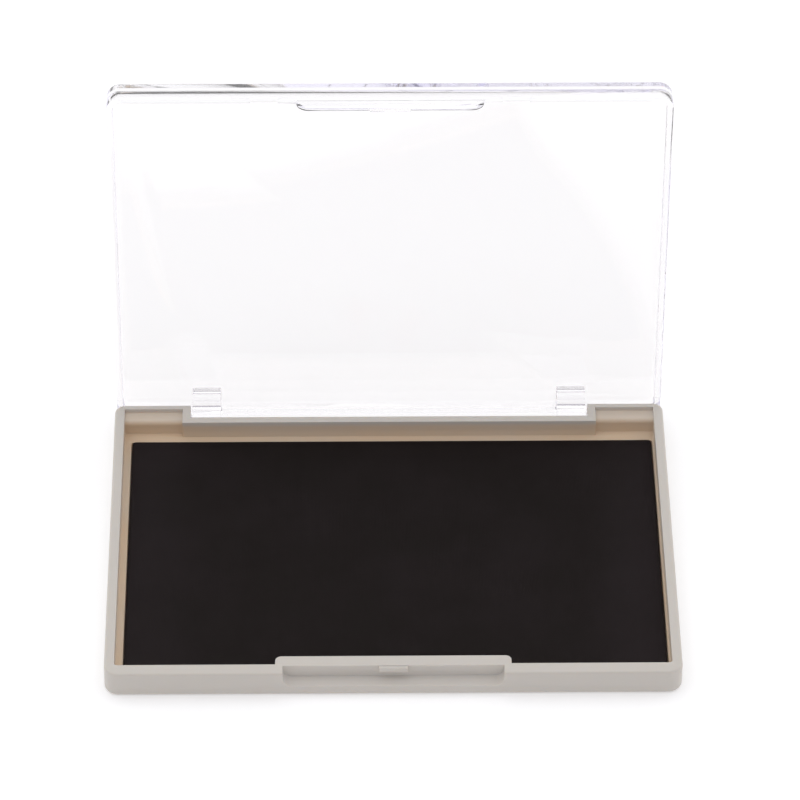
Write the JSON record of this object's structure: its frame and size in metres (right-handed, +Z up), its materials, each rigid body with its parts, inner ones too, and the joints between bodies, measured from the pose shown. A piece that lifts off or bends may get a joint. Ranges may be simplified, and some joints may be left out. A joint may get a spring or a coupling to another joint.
{
  "type": "ink pad",
  "caption": "Flat rectangular ink pad: a moulded tray with a cloth-covered felt pad under a hinged clear lid, shown open.",
  "frame": {"origin": "centre of the tray's flat underside", "axes": "+X to the right across the width, +Y from the thumb recess to the hinge, +Z up from the surface it lies on"},
  "size_m": [0.12, 0.0951, 0.0877],
  "materials": {
    "tray_plastic": "satin",
    "lid_clear": "gloss",
    "inked_cloth": "matte",
    "inked_felt": "matte",
    "backing_board": "matte",
    "adhesive_tape": "matte"
  },
  "bodies": {
    "base": {"base_tray": "tray_plastic", "pad_cloth": "inked_cloth", "pad_felt": "inked_felt", "pad_board": "backing_board", "pad_tape": "adhesive_tape"},
    "lid": {"clear_lid": "lid_clear"}
  },
  "joints": [
    {"name": "lid_hinge", "type": "hinge", "parent": "base", "child": "lid", "pos_m": [0, 0.0409, 0.0038], "axis": [1, 0, 0], "range_deg": [-2, 92]}
  ]
}
